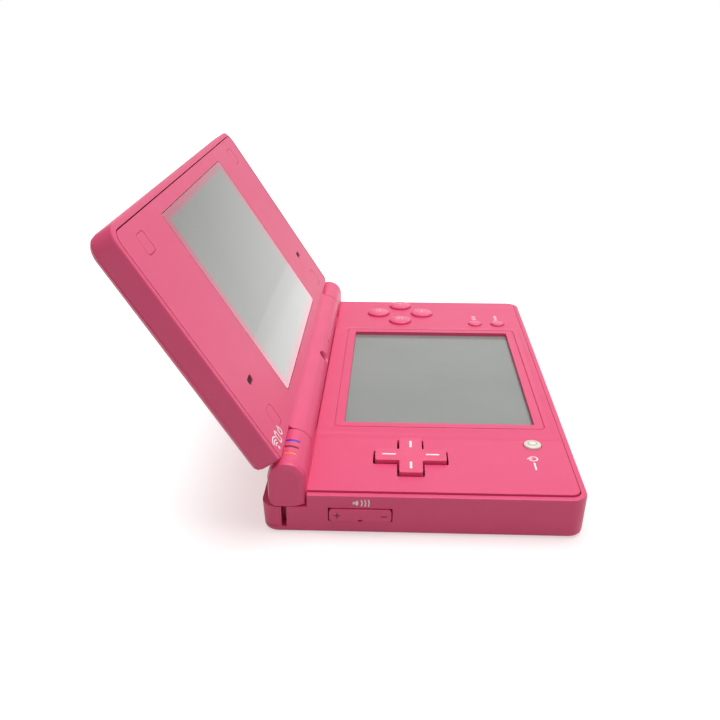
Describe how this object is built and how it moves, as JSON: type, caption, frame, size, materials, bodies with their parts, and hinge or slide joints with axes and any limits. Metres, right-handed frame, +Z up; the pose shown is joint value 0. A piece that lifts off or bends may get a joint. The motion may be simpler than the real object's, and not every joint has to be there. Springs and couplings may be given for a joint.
{
  "type": "clamshell handheld game console",
  "caption": "Folding handheld game console with two screens, a hinged lid, direction pad, round buttons, shoulder buttons, volume rocker and a stylus in its base.",
  "frame": {"origin": "middle of the flat underside of the base", "axes": "+Z up, +Y towards the hinge, +X to the right of someone who plays"},
  "size_m": [0.1373, 0.1084, 0.0715],
  "materials": {
    "shell": "satin",
    "key": "glossy",
    "power_key": "satin",
    "touch_screen": "satin",
    "upper_lens": "glossy",
    "camera_window": "glossy",
    "inner_plastic": "matte",
    "board": "satin",
    "steel": "satin",
    "battery": "matte",
    "rubber": "matte",
    "stylus": "satin",
    "light_blue": "glossy",
    "light_grey": "satin",
    "light_orange": "satin"
  },
  "bodies": {
    "base": {"lower_shell": "shell", "upper_panel": "shell", "battery_cover": "shell", "touch_screen": "touch_screen", "lower_display": "inner_plastic", "game_card_slot": "inner_plastic", "audio_jack": "inner_plastic", "volume_switch": "inner_plastic", "power_switch": "inner_plastic", "main_board": "board", "wireless_module": "steel", "memory_card_socket": "steel", "charging_port": "steel", "hinge_pin_left": "steel", "hinge_pin_right": "steel", "cover_screw_1": "steel", "cover_screw_2": "steel", "case_screw_1": "steel", "case_screw_2": "steel", "case_screw_3": "steel", "case_screw_4": "steel", "battery": "battery", "pad_rubber": "rubber", "face_rubber": "rubber", "start_select_rubber": "rubber", "light_guide_1": "light_blue", "light_guide_2": "light_grey", "light_guide_3": "light_orange"},
    "lid": {"lid_outer_shell": "shell", "lid_inner_panel": "shell", "upper_lens": "upper_lens", "upper_display": "inner_plastic", "speaker_left": "inner_plastic", "speaker_right": "inner_plastic", "screw_cover_1": "shell", "screw_cover_2": "shell", "screw_cover_3": "shell", "screw_cover_4": "shell", "hinge_click_unit": "steel", "outer_camera_window": "camera_window", "outer_camera": "inner_plastic", "inner_camera_window": "camera_window", "inner_camera": "inner_plastic", "microphone": "inner_plastic"},
    "pad_pivot": {"pad_pivot": "rubber"},
    "direction_pad": {"direction_pad": "key"},
    "face_button_back": {"face_button_back": "key"},
    "face_button_right": {"face_button_right": "key"},
    "face_button_front": {"face_button_front": "key"},
    "face_button_left": {"face_button_left": "key"},
    "start_button": {"start_button": "key"},
    "select_button": {"select_button": "key"},
    "power_button": {"power_button": "power_key"},
    "volume_rocker": {"volume_rocker": "key"},
    "shoulder_button_left": {"shoulder_button_left": "key"},
    "shoulder_button_right": {"shoulder_button_right": "key"},
    "memory_card_flap": {"memory_card_flap": "shell"},
    "stylus": {"stylus": "stylus"}
  },
  "joints": [
    {"name": "lid_hinge", "type": "hinge", "parent": "base", "child": "lid", "pos_m": [0, 0.0312, 0.01375], "axis": [-1, 0, 0], "range_deg": [-122.4, 32.6]},
    {"name": "pad_rock_front_back", "type": "hinge", "parent": "base", "child": "pad_pivot", "pos_m": [-0.0508, 0.00275, 0.00855], "axis": [1, 0, 0], "range_deg": [-1.5, 1.5], "stiffness_Nm_per_rad": 0.15},
    {"name": "pad_rock_left_right", "type": "hinge", "parent": "pad_pivot", "child": "direction_pad", "pos_m": [-0.0508, 0.00275, 0.00855], "axis": [0, 1, 0], "range_deg": [-1.5, 1.5], "stiffness_Nm_per_rad": 0.15},
    {"name": "face_button_back_press", "type": "slide", "parent": "base", "child": "face_button_back", "axis": [0, 0, -1], "range_m": [0, 0.0005], "stiffness_N_per_m": 2000},
    {"name": "face_button_right_press", "type": "slide", "parent": "base", "child": "face_button_right", "axis": [0, 0, -1], "range_m": [0, 0.0005], "stiffness_N_per_m": 2000},
    {"name": "face_button_front_press", "type": "slide", "parent": "base", "child": "face_button_front", "axis": [0, 0, -1], "range_m": [0, 0.0005], "stiffness_N_per_m": 2000},
    {"name": "face_button_left_press", "type": "slide", "parent": "base", "child": "face_button_left", "axis": [0, 0, -1], "range_m": [0, 0.0005], "stiffness_N_per_m": 2000},
    {"name": "start_press", "type": "slide", "parent": "base", "child": "start_button", "axis": [0, 0, -1], "range_m": [0, 0.0004], "stiffness_N_per_m": 1500},
    {"name": "select_press", "type": "slide", "parent": "base", "child": "select_button", "axis": [0, 0, -1], "range_m": [0, 0.0004], "stiffness_N_per_m": 1500},
    {"name": "power_press", "type": "slide", "parent": "base", "child": "power_button", "axis": [0, 0, -1], "range_m": [0, 0.0004], "stiffness_N_per_m": 1500},
    {"name": "volume_rock", "type": "hinge", "parent": "base", "child": "volume_rocker", "pos_m": [-0.0671, 0.01485, 0.00515], "axis": [0, 0, 1], "range_deg": [-1.5, 1.5], "stiffness_Nm_per_rad": 0.2},
    {"name": "shoulder_left_press", "type": "hinge", "parent": "base", "child": "shoulder_button_left", "pos_m": [-0.0464, 0.0356, 0.00425], "axis": [0, 0, 1], "range_deg": [0, 3], "stiffness_Nm_per_rad": 0.5},
    {"name": "shoulder_right_press", "type": "hinge", "parent": "base", "child": "shoulder_button_right", "pos_m": [0.0464, 0.0356, 0.00425], "axis": [0, 0, -1], "range_deg": [0, 3], "stiffness_Nm_per_rad": 0.5},
    {"name": "memory_card_flap_swing", "type": "hinge", "parent": "base", "child": "memory_card_flap", "pos_m": [0.068, -0.0142, 0.00495], "axis": [0, 0, -1], "range_deg": [0, 95]},
    {"name": "stylus_draw", "type": "slide", "parent": "base", "child": "stylus", "axis": [1, 0, 0], "range_m": [0, 0.095]}
  ]
}
